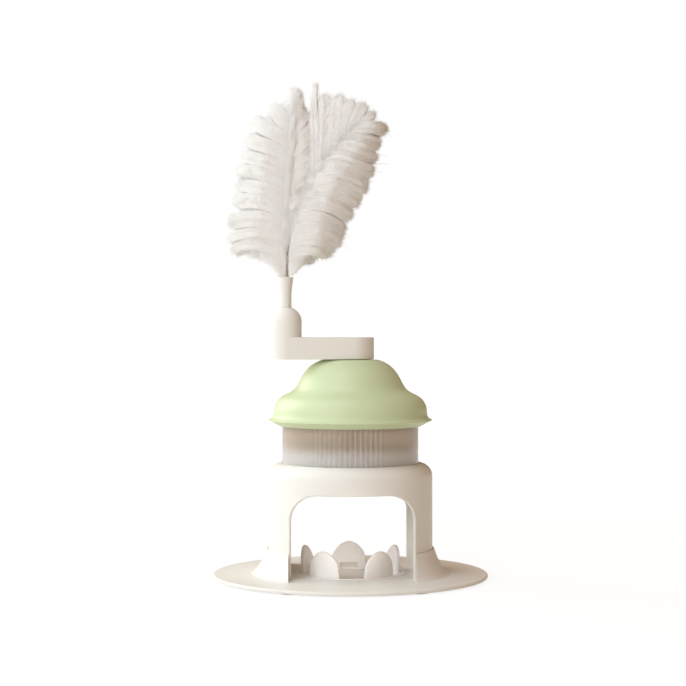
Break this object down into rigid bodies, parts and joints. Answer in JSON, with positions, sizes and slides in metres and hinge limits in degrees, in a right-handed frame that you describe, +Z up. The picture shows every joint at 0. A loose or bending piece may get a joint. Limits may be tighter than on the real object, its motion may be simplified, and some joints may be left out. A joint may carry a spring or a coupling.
{
  "type": "cat treat dispenser toy",
  "caption": "Cat treat dispenser: arched stand on a round base, smoked hopper under a domed lid, and a crank with a feather plume that turns a pocket wheel.",
  "frame": {"origin": "centre of the round base, on the surface the toy stands on", "axes": "+Z up along the crank's axis, the arch opens to the front (-Y) and back, +X to the right"},
  "size_m": [0.18, 0.18, 0.3235],
  "materials": {
    "white_plastic": "satin",
    "tray_plastic": "satin",
    "wheel_plastic": "satin",
    "green_plastic": "satin",
    "smoke_plastic": "gloss",
    "bearing_plastic": "satin",
    "shaft_plastic": "satin",
    "pad_rubber": "matte",
    "seal_rubber": "matte",
    "screw_steel": "satin",
    "quill_horn": "satin",
    "thread": "matte",
    "plume_down": "matte"
  },
  "bodies": {
    "base": {"base_plate": "white_plastic", "grip_pads": "pad_rubber", "petal_tray": "tray_plastic", "stand": "white_plastic", "stand_screws": "screw_steel", "outlet_deck": "white_plastic", "deck_screws": "screw_steel", "hopper": "smoke_plastic"},
    "wheel": {"metering_wheel": "wheel_plastic"},
    "lid": {"lid": "green_plastic", "lid_seal": "seal_rubber", "shaft_bush": "bearing_plastic"},
    "crank": {"crank_arm": "white_plastic", "arm_cover": "white_plastic", "cover_screws": "screw_steel", "crank_shaft": "shaft_plastic", "shaft_clip": "screw_steel", "thrust_washer": "bearing_plastic", "hub_screw": "screw_steel", "hub_cap": "white_plastic"},
    "swivel": {"swivel_sleeve": "bearing_plastic"},
    "feather": {"feather_stem": "white_plastic", "quill_left": "quill_horn", "quill_right": "quill_horn", "quill_binding": "thread", "plume_left": "plume_down", "plume_right": "plume_down"}
  },
  "joints": [
    {"name": "lid_lift", "type": "slide", "parent": "base", "child": "lid", "axis": [0, 0, 1], "range_m": [0, 0.04]},
    {"name": "crank_turn", "type": "hinge", "parent": "lid", "child": "crank", "pos_m": [0, 0, 0.14], "axis": [0, 0, 1], "continuous": true},
    {"name": "wheel_turn", "type": "hinge", "parent": "base", "child": "wheel", "pos_m": [0, 0, 0.075], "axis": [0, 0, 1], "continuous": true},
    {"name": "feather_turn", "type": "hinge", "parent": "crank", "child": "swivel", "pos_m": [-0.04269, -0.01064, 0.16], "axis": [0, 0, 1], "continuous": true},
    {"name": "feather_pull", "type": "slide", "parent": "swivel", "child": "feather", "axis": [0, 0, 1], "range_m": [0, 0.032]}
  ],
  "couplings": [
    {"joint": "wheel_turn", "follows": "crank_turn", "ratio": 1}
  ]
}
